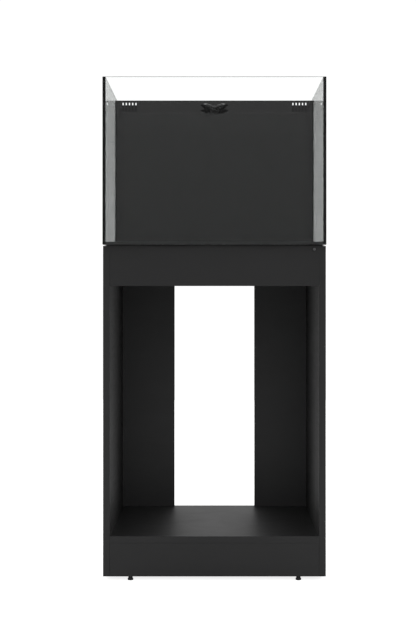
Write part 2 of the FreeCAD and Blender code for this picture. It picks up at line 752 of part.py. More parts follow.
def make_pump_rotor():
    start = "tube_axis - volute_length / 2"
    body = new_body("pump_impeller")
    wheel_low = "(volute_length - volute_wall - wheel_gap - wheel_wall)"
    revolution(body, [
        ("rotor_bore", f"{wheel_low} - vane_height"), ("vane_hub", f"{wheel_low} - vane_height"),
        ("vane_hub", wheel_low), ("wheel_radius", wheel_low),
        ("wheel_radius", f"{wheel_low} + wheel_wall"), ("rotor_radius", f"{wheel_low} + wheel_wall"),
        ("rotor_radius", f"{wheel_low} + wheel_wall + rotor_length"),
        ("rotor_bore", f"{wheel_low} + wheel_wall + rotor_length"),
    ])
    blade = new_sketch(body, "XY_Plane", f"{wheel_low} - vane_height")
    rectangle(blade, ("vane_root", "vane_tip"), ("-vane_wall / 2", "vane_wall / 2"))
    vane = pad(body, blade, "vane_height + wheel_wall / 2")
    polar(body, vane, "vane_count")
    keep(place(body, 0, start, PUMP_AXIS, ALONG["y"]))
    keep(pump_bar("pump_shaft", "shaft_radius", "shaft_length", f"{start} + shaft_start"))


def make_pump_feet():
    cups = []
    for index, (x, y) in enumerate(((-1, 0), (1, 0), (-1, 1), (1, 1))):
        at_x = f"{x} * (base_width / 2 - cup_edge)"
        at_y = f"tube_axis - volute_length / 2 + cup_edge + {y} * (base_length - 2 * cup_edge)"
        cup = cone(f"cup_{index}", "cup_radius", "cup_neck", "cup_height", at_x, at_y, PANE_TOP)
        neck = cylinder(f"cup_neck_{index}", "cup_neck", "pump_foot_height", at_x, at_y, PANE_TOP)
        cups.append(fuse(f"suction_cup_{index}", [cup, neck]))
    keep(group("pump_suction_cups", cups))


# Cabinet stand


def fastener_bars():
    """Every dowel and cam fitting of the carcass, as round bars."""
    dowels = []
    cams = []
    places = [f"{CARCASS_FRONT} + fixing_edge", "door_gap / 2", f"{BACK} - fixing_edge"]
    cam_places = [f"{CARCASS_FRONT} + cam_edge", f"{BACK} - cam_edge"]
    for side, sign in SIDES.items():
        joint_x = f"{sign} * (tank_width / 2 - board)"
        middle_x = f"{sign} * (tank_width / 2 - board / 2)"
        floor_x = f"{joint_x} + dowel_bite - dowel_length" if sign > 0 else f"{joint_x} - dowel_bite"
        for index, at in enumerate(places):
            dowels.append(cylinder(
                f"{side}_top_dowel_{index}", "dowel_radius", "dowel_length", middle_x, at,
                f"{SIDE_TOP} + dowel_bite - dowel_length",
            ))
            dowels.append(cylinder(
                f"{side}_floor_dowel_{index}", "dowel_radius", "dowel_length", floor_x, at,
                f"{FLOOR_TOP} - board / 2", "x",
            ))
        for index, at in enumerate(cam_places):
            cams.append(cam(f"{side}_floor_cam_{index}", sign, at, FLOOR_LOW, "z"))
        for name, y, z, facing in (
            ("rail", f"{CARCASS_FRONT} + board", f"{SIDE_TOP} - rail_height / 2", "y"),
            ("plinth", f"{CARCASS_FRONT} + board", f"{FLOOR_LOW} - plinth_height / 2", "y"),
            ("rear_plinth", f"{BACK} - board", f"{FLOOR_LOW} - plinth_height / 2", "-y"),
        ):
            cams.append(cam(f"{side}_{name}_cam", sign, y, z, facing))
    fixings = [group("carcass_dowels", dowels), group("cam_fittings", cams)]
    for item in fixings:
        keep(item)
    return fixings


def cam(name, sign, y, z, open_side):
    """A cam in a board's hidden face, fused with its bolt in the side panel's face."""
    face_x = "(tank_width / 2 - board)"
    at_x = f"{sign} * ({face_x} - cam_reach)"
    bolt_x = at_x if sign > 0 else f"-({face_x} + cam_bolt_bite)"
    length = "cam_reach + cam_bolt_bite"
    if open_side == "z":
        drum = cylinder(f"{name}_drum", "cam_radius", "cam_depth", at_x, y, z)
        bolt = cylinder(f"{name}_bolt", "cam_bolt_radius", length, bolt_x, y, f"{z} + board / 2", "x")
    else:
        turn = "-" if open_side == "y" else "+"
        start = f"{y} - cam_depth" if open_side == "y" else y
        drum = cylinder(f"{name}_drum", "cam_radius", "cam_depth", at_x, start, z, "y")
        bolt = cylinder(f"{name}_bolt", "cam_bolt_radius", length, bolt_x, f"{y} {turn} board / 2", z, "x")
    return fuse(name, [drum, bolt])


def foot_spots():
    """Name and centre of each levelling foot, in the middle of a plinth's edge."""
    spots = []
    for end, y in (("front", f"{CARCASS_FRONT} + board / 2"), ("rear", f"{BACK} - board / 2")):
        for side, sign in SIDES.items():
            spots.append((f"{end}_{side}", f"{sign} * (tank_width / 2 - foot_place)", y))
    return spots


def make_cabinet():
    fixings = fastener_bars()
    inner = "(tank_width / 2 - board)"
    depth = (CARCASS_FRONT, BACK)
    front_board = (CARCASS_FRONT, f"{CARCASS_FRONT} + board")
    back_board = (f"{BACK} - board", BACK)

    def front_edge(middle):
        return near(middle.y, CARCASS_FRONT)

    def side_edge(middle):
        return front_edge(middle) and not near(middle.z, SIDE_TOP)

    def top_edge(middle):
        upright = near(abs(middle.x), "tank_width / 2") and near(middle.z, f"{CARCASS_TOP} - board / 2")
        return near(middle.z, CARCASS_TOP) or upright

    def rail_edge(middle):
        return near(middle.z, f"{SIDE_TOP} - rail_height")

    def plinth_edge(middle):
        return front_edge(middle) or near(middle.y, BACK)

    pockets = []
    for name, x, y in foot_spots():
        for use, radius, length in (
            ("insert", "insert_radius", "insert_length"),
            ("stem", "clearance_radius", "clearance_top - foot_height"),
        ):
            pockets.append(cylinder(f"{name}_{use}_pocket", radius, length, x, y, CARCASS_LOW))

    latch_hole = cylinder("latch_hole", "latch_radius", "latch_length", *LATCH_PLACE, "y")

    for side, sign in SIDES.items():
        faces = sorted((f"{sign} * tank_width / 2", f"{sign} * {inner}"), key=value)
        blank = box(f"{side}_side_blank", faces, depth, (CARCASS_LOW, SIDE_TOP))
        eased = bevel(f"{side}_side_eased", blank, "arris", side_edge)
        keep(cut(f"{side}_side_panel", eased, fixings))
        strip_x = sorted((f"{sign} * {inner}", f"{sign} * ({inner} - strip_width)"), key=value)
        keep(box(f"{side}_back_strip", strip_x, back_board, (FLOOR_TOP, SIDE_TOP)))

    full_x = ("-tank_width / 2", "tank_width / 2")
    blank = box("top_board_blank", full_x, depth, (SIDE_TOP, CARCASS_TOP))
    eased = bevel("top_board_eased", blank, "arris", top_edge)
    keep(cut("top_board", eased, fixings + [latch_hole]))

    blank = box("bottom_board_blank", (f"-{inner}", inner), depth, (FLOOR_LOW, FLOOR_TOP))
    keep(cut("bottom_board", bevel("bottom_board_eased", blank, "arris", front_edge), fixings))

    rail_height = (f"{SIDE_TOP} - rail_height", SIDE_TOP)
    blank = box("front_rail_blank", (f"-{inner}", inner), front_board, rail_height)
    eased = bevel("front_rail_eased", blank, "arris", rail_edge)
    keep(cut("front_rail", eased, fixings))

    for name, y in (("front_plinth", front_board), ("rear_plinth", back_board)):
        blank = box(f"{name}_blank", (f"-{inner}", inner), y, (CARCASS_LOW, FLOOR_LOW))
        eased = bevel(f"{name}_eased", blank, "arris", plinth_edge)
        keep(cut(name, eased, fixings + pockets))

    inset = "(tank_width / 2 - mat_inset)"
    keep(box(
        "levelling_mat",
        (f"-{inset}", inset),
        (f"{FRONT} + door_gap + mat_inset", f"{BACK} - mat_inset"),
        (CARCASS_TOP, TANK_LOW),
    ))


def make_feet():
    """Threaded inserts in the plinths, and a hexagon stem that turns in a round pad."""
    sleeves = []
    for name, x, y in foot_spots():
        skin = cylinder(f"{name}_sleeve_skin", "insert_radius", "insert_length", x, y, CARCASS_LOW)
        bore = cylinder(f"{name}_sleeve_bore", "insert_bore", "insert_length", x, y, CARCASS_LOW)
        sleeves.append(cut(f"{name}_sleeve", skin, [bore]))

        round_off = "pad_radius - pad_ease"
        pad_body = new_body(f"{name}_foot_pad")
        revolution(pad_body, [
            (0, 0), ("pad_radius - pad_round", 0), (round_off, "pad_ease"),
            ("pad_radius", "pad_round"), ("pad_radius", "pad_height - pad_ease"),
            (round_off, "pad_height"), ("pad_socket", "pad_height"),
            ("pad_socket", "pad_height - pad_socket_depth"), (0, "pad_height - pad_socket_depth"),
        ])
        keep(place(pad_body, x, y, 0))

        stem = new_body(f"{name}_foot_stem")
        collar = new_sketch(stem, "XY_Plane", "hex_low")
        hexagon(collar, "hex_flats")
        pad(stem, collar, "hex_high - hex_low")
        for radius, low, high in (
            ("stem_tail", "stem_tail_drop", "hex_low"),
            ("stem_radius", "hex_high", "stem_top"),
        ):
            rod = new_sketch(stem, "XY_Plane", low)
            circle(rod, radius)
            pad(stem, rod, f"{high} - {low}")
        keep(place(stem, x, y, 0))
    keep(group("foot_inserts", sleeves))


def make_latch():
    """Push latch for a door: a sleeve in the top board's edge, a sprung plunger and its spring."""
    sleeve = new_body("latch_sleeve")
    revolution(sleeve, [
        ("latch_bore", "-latch_lip"), ("latch_lip_radius", "-latch_lip"), ("latch_lip_radius", 0),
        ("latch_radius", 0), ("latch_radius", "latch_length"), (0, "latch_length"),
        (0, "latch_length - latch_floor"), ("latch_bore", "latch_length - latch_floor"),
    ])
    keep(place(sleeve, *LATCH_PLACE, ALONG["y"]))

    plunger = new_body("latch_plunger")
    tip = "-latch_lip - plunger_out"
    revolution(plunger, [
        (0, tip), ("plunger_radius - plunger_ease", tip), ("plunger_radius", f"{tip} + plunger_ease"),
        ("plunger_radius", f"{tip} + plunger_length"), (0, f"{tip} + plunger_length"),
    ])
    keep(place(plunger, *LATCH_PLACE, ALONG["y"]))

    start = "(plunger_length - latch_lip - plunger_out + spring_wire + spring_gap)"
    height = f"(latch_length - latch_floor - spring_wire - spring_gap - {start})"
    helix = doc.addObject("Part::Helix", "latch_spring_path")
    bind(helix, "Radius", "spring_radius")
    bind(helix, "Pitch", f"{height} / spring_turns")
    bind(helix, "Height", height)
    wire = doc.addObject("Part::Circle", "latch_spring_wire")
    bind(wire, "Radius", "spring_wire")
    wire.Placement = FreeCAD.Placement(
        FreeCAD.Vector(value("spring_radius"), 0, 0), FreeCAD.Rotation(FreeCAD.Vector(1, 0, 0), 90)
    )
    coil = doc.addObject("Part::Sweep", "latch_spring")
    coil.Label = "latch_spring"
    coil.Sections = [wire]
    coil.Spine = (helix, ["Edge1"])
    coil.Solid = True
    coil.Frenet = True
    x, y, z = LATCH_PLACE
    keep(place(coil, x, f"{y} + {start}", z, ALONG["y"]))


def check_document():
    doc.recompute()
    for item in doc.Objects:
        if "Invalid" in item.State or "Error" in item.State:
            raise RuntimeError(f"{item.Name} failed: {item.State}")
    labels = [item.Label for item in nodes]
    if len(set(labels)) != len(labels):
        raise RuntimeError("two nodes share a label")
    for item in nodes:
        if item.Shape.isNull() or not item.Shape.isValid():
            raise RuntimeError(f"{item.Label} has no valid shape")
        if not item.Shape.Solids:
            raise RuntimeError(f"{item.Label} has no solid")


def write_nodes():
    os.makedirs("parts", exist_ok=True)
    for item in nodes:
        item.Shape.exportStep(f"parts/{item.Label}.step")
        size = item.Shape.BoundBox
        print(f"{item.Label}: {len(item.Shape.Solids)} solids, "
              f"{size.XLength:.1f} x {size.YLength:.1f} x {size.ZLength:.1f} mm, "
              f"z {size.ZMin:.1f} to {size.ZMax:.1f}")
    print(f"{len(nodes)} nodes")


make_panes()
make_tank_silicone()
make_partition()
make_dividers()
make_baskets()
make_bulkhead()
make_manifold()
make_links()
make_return_line()
make_pump_housing()
make_pump_cover()
make_pump_rotor()
make_pump_feet()
make_cabinet()
make_feet()
make_latch()
check_document()
write_nodes()
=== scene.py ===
import json
import math

import bmesh
import bpy
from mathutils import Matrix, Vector, noise


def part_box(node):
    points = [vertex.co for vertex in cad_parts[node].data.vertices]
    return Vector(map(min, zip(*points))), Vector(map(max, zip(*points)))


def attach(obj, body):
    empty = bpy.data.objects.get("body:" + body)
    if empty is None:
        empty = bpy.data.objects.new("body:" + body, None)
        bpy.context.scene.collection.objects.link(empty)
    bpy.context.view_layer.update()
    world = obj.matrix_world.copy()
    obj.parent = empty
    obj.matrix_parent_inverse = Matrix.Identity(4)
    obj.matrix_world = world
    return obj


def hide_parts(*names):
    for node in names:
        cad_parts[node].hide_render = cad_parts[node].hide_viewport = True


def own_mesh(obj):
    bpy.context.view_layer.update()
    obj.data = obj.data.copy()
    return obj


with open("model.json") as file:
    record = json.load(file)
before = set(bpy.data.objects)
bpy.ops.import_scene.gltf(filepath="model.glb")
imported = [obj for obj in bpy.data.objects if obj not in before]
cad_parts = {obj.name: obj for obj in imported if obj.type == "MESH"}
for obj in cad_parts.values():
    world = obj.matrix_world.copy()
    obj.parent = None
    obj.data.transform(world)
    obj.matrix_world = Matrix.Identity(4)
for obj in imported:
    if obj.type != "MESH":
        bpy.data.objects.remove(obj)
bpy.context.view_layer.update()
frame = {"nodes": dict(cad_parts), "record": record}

# Looks of the aquarium on its stand. Metres, in the CAD's frame: +Z up, -Y is the front.
NODES = frame["nodes"]
SLOT_OF = {part["node"]: part["material_slot"] for part in frame["record"]["subparts"]}
PANE_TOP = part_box("bottom_pane")[1].z
PANE_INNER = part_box("right_pane")[0].x

# The middle range of a noise texture, which most materials stretch to the whole of their own range.
NOISE_LOW = 0.3
NOISE_HIGH = 0.7

# Looks. The black acrylic's index, the glass's specular tint, the speculars and the back strips' shade
# are tuned until the render is near the photograph. They are not the real materials' values.
CLEAR_GLASS_IOR = 1.5
GLASS_SPECULAR_TINT = (0.4, 0.4, 0.4, 1)
BLACK_ACRYLIC_IOR = 1.95
BASKET_ACRYLIC_IOR = 1.49
SILICONE_SPECULAR = 0.2
NOZZLE_SPECULAR = 0.36
SLEEVE_SPECULAR = 0.3
BACK_STRIP_PAINTED_LIGHT = 2.2

# Height over which the silicone turns from the paler grey under the tank's base, which is painted light,
# to the plain bead.
PAINTED_LIGHT_EDGE = 0.0003

# Filter foam: grid size, depth of its pits, pits and grain in features per metre.
FOAM_STEP = 0.0012
FOAM_PIT = 0.0011
FOAM_PITS = 330
FOAM_GRAIN = 900

# How wide a pit is in the noise's own units, the shares of the pit depth for grain and pits, and the part
# of the pit depth by which the whole block shrinks.
FOAM_HOLE_REACH = 0.55
FOAM_GRAIN_SHARE = 0.35
FOAM_HOLE_SHARE = 1.3
FOAM_SHRINK = 5

# Front seam: half the longest edge it keeps, share of the joint that it fills, and its waviness.
SEAM_STEP = 0.02
SEAM_FILL = 0.8
SEAM_SWELL = 0.15
SEAM_WAVES = 60

# Studio: brightness of the white backdrop, the same through two panes (four glass faces, so a count of
# transmissions between PANES_AFTER's numbers), and the floor's own glow.
BACKDROP_WHITE = 1.06
BACKDROP_THROUGH_PANES = 1.66
FLOOR_GLOW = 0.85
FLOOR_HALF = 6.0
PANES_AFTER = (3.4, 3.6)
FLOOR_GREY = (0.8, 0.8, 0.8, 1)
FLOOR_ROUGHNESS = 0.9
CAMERA_PLACE = (0, -3.817, 0.763)
CAMERA_TILT = math.radians(90)
CAMERA_SENSOR = 36
CAMERA_LENS = 76.3
CAMERA_SHIFT = (-0.0103, -0.0238)

# The world's light, as (direction from, direction to, light at from, light at to) along one axis.
# Directions run from -1 to 1: Z is up, and -Y is ahead of the tank, where the photograph's camera stands.
HORIZON = (0.0, 0.2, 0.35, 0.45)
SOFTBOX_ABOVE = (0.14, 0.34, 0.0, 1.0)
SOFTBOX_AHEAD = (-0.3, -0.85, 0.0, 0.36)
BEHIND = (0.5, 1.0, 0.0, 0.03)
SHADE_AHEAD = (-0.90, -0.975, 1.0, 0.62)
CEILING = (0.25, 0.75, 0.0, 0.55)


# ---------------------------------------------------------------- node helpers
def new_material(name):
    """A material with an empty tree, its Principled shader and the tree."""
    material = bpy.data.materials.new(name)
    material.use_nodes = True
    tree = material.node_tree
    tree.nodes.clear()
    output = tree.nodes.new("ShaderNodeOutputMaterial")
    shader = tree.nodes.new("ShaderNodeBsdfPrincipled")
    tree.links.new(shader.outputs["BSDF"], output.inputs["Surface"])
    return material, tree, shader


def feed(tree, socket, source):
    """Sets a socket to a number or a colour, or links it to another socket."""
    if isinstance(source, bpy.types.NodeSocket):
        tree.links.new(source, socket)
    elif source is not None:
        socket.default_value = source


def place_coords(tree, stretch=(1, 1, 1), turn=(0, 0, 0)):
    """Object coordinates, which are the frame's own metres, stretched along each axis."""
    coords = tree.nodes.new("ShaderNodeTexCoord")
    mapping = tree.nodes.new("ShaderNodeMapping")
    mapping.inputs["Scale"].default_value = stretch
    mapping.inputs["Rotation"].default_value = turn
    tree.links.new(coords.outputs["Object"], mapping.inputs["Vector"])
    return mapping.outputs["Vector"]


def speckle(tree, vector, scale, detail=3, roughness=0.55, warp=0.0):
    """Noise from 0 to 1 with features of about 1 / scale metres."""
    node = tree.nodes.new("ShaderNodeTexNoise")
    node.inputs["Scale"].default_value = scale
    node.inputs["Detail"].default_value = detail
    node.inputs["Roughness"].default_value = roughness
    node.inputs["Distortion"].default_value = warp
    tree.links.new(vector, node.inputs["Vector"])
    return node.outputs["Fac"]


def cells(tree, vector, scale, feature="F1"):
    """Distance within Voronoi cells of about 1 / scale metres."""
    node = tree.nodes.new("ShaderNodeTexVoronoi")
    node.feature = feature
    node.inputs["Scale"].default_value = scale
    node.inputs["Randomness"].default_value = 1.0
    tree.links.new(vector, node.inputs["Vector"])
    return node.outputs["Distance"]


def remap(tree, source, low, high, to_low, to_high, smooth=False):
    """The source's range low to high, mapped to another range and held at its ends."""
    node = tree.nodes.new("ShaderNodeMapRange")
    node.interpolation_type = "SMOOTHSTEP" if smooth else "LINEAR"
    tree.links.new(source, node.inputs["Value"])
    node.inputs["From Min"].default_value = low
    node.inputs["From Max"].default_value = high
    node.inputs["To Min"].default_value = to_low
    node.inputs["To Max"].default_value = to_high
    return node.outputs["Result"]


def stretched(tree, source, low=0, high=1):
    """A noise texture's middle range, mapped to run from low to high."""
    return remap(tree, source, NOISE_LOW, NOISE_HIGH, low, high)


def calculate(tree, operation, a, b=None):
    """One Math node on two sockets or numbers."""
    node = tree.nodes.new("ShaderNodeMath")
    node.operation = operation
    feed(tree, node.inputs[0], a)
    feed(tree, node.inputs[1], b)
    return node.outputs["Value"]


def tint(tree, amount, first, second):
    """A colour between two colours, by an amount from 0 to 1."""
    node = tree.nodes.new("ShaderNodeMix")
    node.data_type = "RGBA"
    feed(tree, node.inputs["Factor"], amount)
    for key, colour in ((6, first), (7, second)):
        feed(tree, node.inputs[key], colour if isinstance(colour, bpy.types.NodeSocket) else (*colour, 1))
    return node.outputs[2]


def axes(tree, vector):
    """The X, Y and Z outputs of a vector."""
    parts = tree.nodes.new("ShaderNodeSeparateXYZ")
    tree.links.new(vector, parts.inputs["Vector"])
    return parts.outputs


def raised(tree, height, distance, strength):
    """A bump from a height of 0 to 1, which stands for this distance in metres."""
    node = tree.nodes.new("ShaderNodeBump")
    node.inputs["Strength"].default_value = strength
    node.inputs["Distance"].default_value = distance
    tree.links.new(height, node.inputs["Height"])
    return node.outputs["Normal"]


def finish_shader(tree, shader, colour, roughness, normal=None, **fixed):
    """Colour, roughness and bump, and other sockets set straight to a number by name."""
    feed(tree, shader.inputs["Base Color"], colour)
    feed(tree, shader.inputs["Roughness"], roughness)
    if normal is not None:
        tree.links.new(normal, shader.inputs["Normal"])
    for name, number in fixed.items():
        shader.inputs[name.replace("_", " ")].default_value = number


# ---------------------------------------------------------------- materials
def moulded(name, dark, light, rough, spread=0.06, grain=1800, depth=0.00004, **fixed):
    """Plastic or rubber from a mould: cloudy colour, fine spark-eroded grain and rubbed patches."""
    material, tree, shader = new_material(name)
    vector = place_coords(tree)
    cloud = speckle(tree, vector, 35, 4)
    fine = speckle(tree, vector, grain, 2, 0.6)
    rubbed = speckle(tree, vector, 60, 5, 0.65, 0.4)
    colour = tint(tree, stretched(tree, cloud), dark, light)
    roughness = stretched(tree, rubbed, rough - spread, rough + spread)
    finish_shader(tree, shader, colour, roughness, raised(tree, fine, depth, 0.6), **fixed)
    return material


def laminate(name, shade=1.0):
    """Matt black melamine board with a fine pearl grain, faint wipe marks and dust."""
    material, tree, shader = new_material(name)
    vector = place_coords(tree)
    pearl = speckle(tree, vector, 1500, 2, 0.5)
    cloud = speckle(tree, vector, 5, 3)
    wiped = speckle(tree, place_coords(tree, (2, 2, 14), (0.2, 0.4, 0)), 4, 4, 0.6, 0.6)
    flecks = cells(tree, vector, 420)
    dark = [shade * number for number in (0.0096, 0.0096, 0.0100)]
    light = [shade * number for number in (0.0113, 0.0113, 0.0116)]
    base = tint(tree, remap(tree, cloud, 0.35, 0.65, 0, 1), dark, light)
    dusty = tint(tree, remap(tree, flecks, 0.02, 0.09, 0.5, 0), base, (0.03, 0.03, 0.029))
    roughness = stretched(tree, wiped, 0.40, 0.46)
    finish_shader(tree, shader, dusty, roughness, raised(tree, pearl, 0.00005, 0.35))
    return material


def polished_acrylic(name, rough, ior):
    """Cast black acrylic: near mirror, with the sheet's slow waviness, hairlines and a little dust."""
    material, tree, shader = new_material(name)
    vector = place_coords(tree)
    wave = speckle(tree, vector, 5, 1)
    hairs = speckle(tree, place_coords(tree, (1, 1, 40), (0, 0.5, 0.3)), 60, 3, 0.7, 0.3)
    dust = cells(tree, vector, 260)
    colour = tint(tree, remap(tree, dust, 0.01, 0.05, 1, 0), (0.0042, 0.0042, 0.0045), (0.03, 0.03, 0.03))
    roughness = remap(tree, hairs, 0.4, 0.75, rough, rough + 0.05)
    finish_shader(tree, shader, colour, roughness, raised(tree, wave, 0.0004, 0.08), IOR=ior)
    return material


def clear_glass(name):
    """Float glass: clear, a trace of green, with a very slow ripple in its surface."""
    material, tree, shader = new_material(name)
    ripple = speckle(tree, place_coords(tree, (1, 1, 0.35)), 6, 1)
    smear = speckle(tree, place_coords(tree, (1, 1, 3)), 14, 3, 0.6, 0.5)
    colour = tint(tree, stretched(tree, smear), (0.975, 0.992, 0.985), (0.985, 0.996, 0.99))
    finish_shader(tree, shader, colour, 0.0, raised(tree, ripple, 0.0002, 0.05),
                  IOR=CLEAR_GLASS_IOR, Transmission_Weight=1.0, Specular_Tint=GLASS_SPECULAR_TINT)
    return material


def painted_glass(name):
    """Back pane: polished glass on the inside, a rolled coat of black paint on the outside."""
    material, tree, shader = new_material(name)
    vector = place_coords(tree)
    geometry = tree.nodes.new("ShaderNodeNewGeometry")
    paint = remap(tree, axes(tree, geometry.outputs["Normal"])["Y"], 0.4, 0.6, 0, 1)
    stipple = speckle(tree, vector, 420, 3, 0.6)
    roller = speckle(tree, place_coords(tree, (9, 9, 1)), 9, 3)
    colour = tint(tree, stretched(tree, roller), (0.006, 0.006, 0.0065), (0.012, 0.012, 0.0125))
    roughness = remap(tree, paint, 0, 1, 0.03, 0.42)
    height = calculate(tree, "MULTIPLY", stipple, paint)
    finish_shader(tree, shader, colour, roughness, raised(tree, height, 0.00012, 0.6), IOR=CLEAR_GLASS_IOR)
    return material


def silicone(name):
    """Tooled black silicone: satin, with drag marks and pimples, and painted light under the tank's base:
    a paler grey there.
    """
    material, tree, shader = new_material(name)
    drag = speckle(tree, place_coords(tree, (6, 6, 1)), 90, 3, 0.6)
    pimples = cells(tree, place_coords(tree), 300)
    colour = tint(tree, drag, (0.003, 0.003, 0.0031), (0.006, 0.006, 0.0062))
    # Painted light: the silicone below the bottom pane's top and inside the side panes is a paler grey.
    base_painted_light = tint(tree, drag, (0.050, 0.050, 0.051), (0.062, 0.062, 0.063))
    place = axes(tree, place_coords(tree))
    low = remap(tree, place["Z"], PANE_TOP, PANE_TOP + PAINTED_LIGHT_EDGE, 1, 0)
    off_centre = calculate(tree, "ABSOLUTE", place["X"])
    inside = remap(tree, off_centre, PANE_INNER, PANE_INNER + PAINTED_LIGHT_EDGE, 1, 0)
    colour = tint(tree, calculate(tree, "MULTIPLY", low, inside), colour, base_painted_light)
    roughness = stretched(tree, drag, 0.3, 0.46)
    height = calculate(tree, "ADD", drag, remap(tree, pimples, 0, 0.2, 0.4, 0))
    normal = raised(tree, height, 0.0001, 0.5)
    finish_shader(tree, shader, colour, roughness, normal, Specular_IOR_Level=SILICONE_SPECULAR)
    return material


def fired_ceramic(name):
    """Porous ceramic media: chalky, open pores of every size and painted shade in them, a darker brown."""
    material, tree, shader = new_material(name)
    vector = place_coords(tree)
    pores = cells(tree, vector, 520)
    wide = cells(tree, vector, 190)
    cloud = speckle(tree, vector, 70, 5, 0.6)
    fine_pits = remap(tree, pores, 0.0, 0.35, 0, 1)
    wide_pits = remap(tree, wide, 0.05, 0.3, 0.2, 1)
    height = calculate(tree, "MULTIPLY", fine_pits, wide_pits)
    stone = tint(tree, cloud, (0.50, 0.43, 0.35), (0.72, 0.67, 0.59))
    # Painted shade: the pits are darker brown the deeper they are.
    colour = tint(tree, height, (0.23, 0.18, 0.14), stone)
    finish_shader(tree, shader, colour, 0.92, raised(tree, height, 0.0006, 0.9))
    return material


def open_foam(name):
    """Open-cell filter foam: near-black blue struts around cells that are darker with painted shade."""
    material, tree, shader = new_material(name)
    vector = place_coords(tree)
    net = cells(tree, vector, 620, "DISTANCE_TO_EDGE")
    cloud = speckle(tree, vector, 90, 3)
    strut = tint(tree, cloud, (0.022, 0.031, 0.045), (0.04, 0.052, 0.072))
    # Painted shade: the cells between the struts are near black.
    colour = tint(tree, remap(tree, net, 0.03, 0.2, 0, 1), strut, (0.004, 0.005, 0.007))
    height = remap(tree, net, 0.02, 0.25, 1, 0)
    finish_shader(tree, shader, colour, 0.85, raised(tree, height, 0.0008, 0.9), Sheen_Weight=0.25)
    return material


def metal(name, dark, light, rough, stretch=(1, 1, 1), scale=700):
    """Plated or cast metal with drawn or sandy grain."""
    material, tree, shader = new_material(name)
    grain = speckle(tree, place_coords(tree, stretch), scale, 3, 0.6)
    cloud = speckle(tree, place_coords(tree), 120, 4)
    colour = tint(tree, cloud, dark, light)
    roughness = remap(tree, grain, 0.25, 0.75, rough - 0.08, rough + 0.1)
    finish_shader(tree, shader, colour, roughness, raised(tree, grain, 0.00004, 0.5), Metallic=1.0)
    return material


def beech(name):
    """Turned beech dowel: fine straight grain with short rays."""
    material, tree, shader = new_material(name)
    grain = speckle(tree, place_coords(tree, (1, 30, 30)), 30, 4, 0.6, 0.4)
    rays = speckle(tree, place_coords(tree, (8, 60, 60)), 60, 2)
    base = tint(tree, grain, (0.50, 0.33, 0.19), (0.68, 0.50, 0.32))
    colour = tint(tree, remap(tree, rays, 0.55, 0.7, 0, 0.6), base, (0.36, 0.22, 0.12))
    finish_shader(tree, shader, colour, 0.6, raised(tree, grain, 0.0002, 0.5))
    return material


def smoked_tube(name):
    """Flexible tube: smoked and glossy, with faint extrusion lines along it."""
    material, tree, shader = new_material(name)
    lines = speckle(tree, place_coords(tree, (30, 30, 1)), 25, 3)
    cloud = speckle(tree, place_coords(tree), 25, 3)
    colour = tint(tree, cloud, (0.018, 0.018, 0.02), (0.034, 0.034, 0.037))
    roughness = stretched(tree, lines, 0.14, 0.24)
    finish_shader(tree, shader, colour, roughness, raised(tree, lines, 0.00015, 0.4), Coat_Weight=0.4)
    return material


def closed_foam(name):
    """Levelling mat: closed-cell foam with a dimpled skin."""
    material, tree, shader = new_material(name)
    dimples = cells(tree, place_coords(tree), 900)
    cloud = speckle(tree, place_coords(tree), 30, 3)
    colour = tint(tree, cloud, (0.009, 0.009, 0.0095), (0.018, 0.018, 0.019))
    finish_shader(tree, shader, colour, 0.75, raised(tree, dimples, 0.0002, 0.7))
    return material


MATERIALS = {
    "clear_glass": clear_glass("clear_glass"),
    "black_backed_glass": painted_glass("black_backed_glass"),
    "black_silicone": silicone("black_silicone"),
    "black_acrylic": polished_acrylic("black_acrylic", 0.02, BLACK_ACRYLIC_IOR),
    "basket_plastic": polished_acrylic("basket_plastic", 0.16, BASKET_ACRYLIC_IOR),
    "ceramic_media": fired_ceramic("ceramic_media"),
    "filter_foam": open_foam("filter_foam"),
    "fitting_plastic": moulded("fitting_plastic", (0.012, 0.012, 0.0125), (0.02, 0.02, 0.021), 0.36),
    "nozzle_plastic": moulded("nozzle_plastic", (0.003, 0.003, 0.0032), (0.006, 0.006, 0.0063), 0.2,
                              Specular_IOR_Level=NOZZLE_SPECULAR),
    "gasket_rubber": moulded("gasket_rubber", (0.012, 0.012, 0.012), (0.022, 0.022, 0.022), 0.7),
    "tube_vinyl": smoked_tube("tube_vinyl"),
    "clamp_plastic": moulded("clamp_plastic", (0.018, 0.018, 0.018), (0.03, 0.03, 0.03), 0.45),
    "pump_plastic": moulded("pump_plastic", (0.019, 0.020, 0.023), (0.031, 0.032, 0.036), 0.42),
    "rotor_plastic": moulded("rotor_plastic", (0.035, 0.042, 0.066), (0.052, 0.062, 0.094), 0.38),
    "shaft_ceramic": moulded("shaft_ceramic", (0.76, 0.75, 0.72), (0.86, 0.85, 0.82), 0.16),
    "cup_rubber": moulded("cup_rubber", (0.018, 0.018, 0.018), (0.032, 0.032, 0.032), 0.55),
    "black_laminate": laminate("black_laminate"),
    "dowel_beech": beech("dowel_beech"),
    "cam_zinc": metal("cam_zinc", (0.42, 0.42, 0.43), (0.62, 0.62, 0.62), 0.42),
    "foam_mat": closed_foam("foam_mat"),
    "plated_steel": metal("plated_steel", (0.46, 0.46, 0.45), (0.62, 0.61, 0.58), 0.3, (1, 1, 8)),
    "black_steel": metal("black_steel", (0.035, 0.035, 0.036), (0.07, 0.07, 0.072), 0.38, (1, 1, 8)),
    "glide_nylon": moulded("glide_nylon", (0.012, 0.012, 0.012), (0.022, 0.022, 0.022), 0.5),
    "latch_grey": moulded("latch_grey", (0.085, 0.085, 0.088), (0.11, 0.11, 0.113), 0.45),
    "latch_black": moulded("latch_black", (0.004, 0.004, 0.004), (0.007, 0.007, 0.007), 0.5,
                           Specular_IOR_Level=SLEEVE_SPECULAR),
}
for node, piece in NODES.items():
    piece.data.materials.clear()
    piece.data.materials.append(MATERIALS[SLOT_OF[node]])

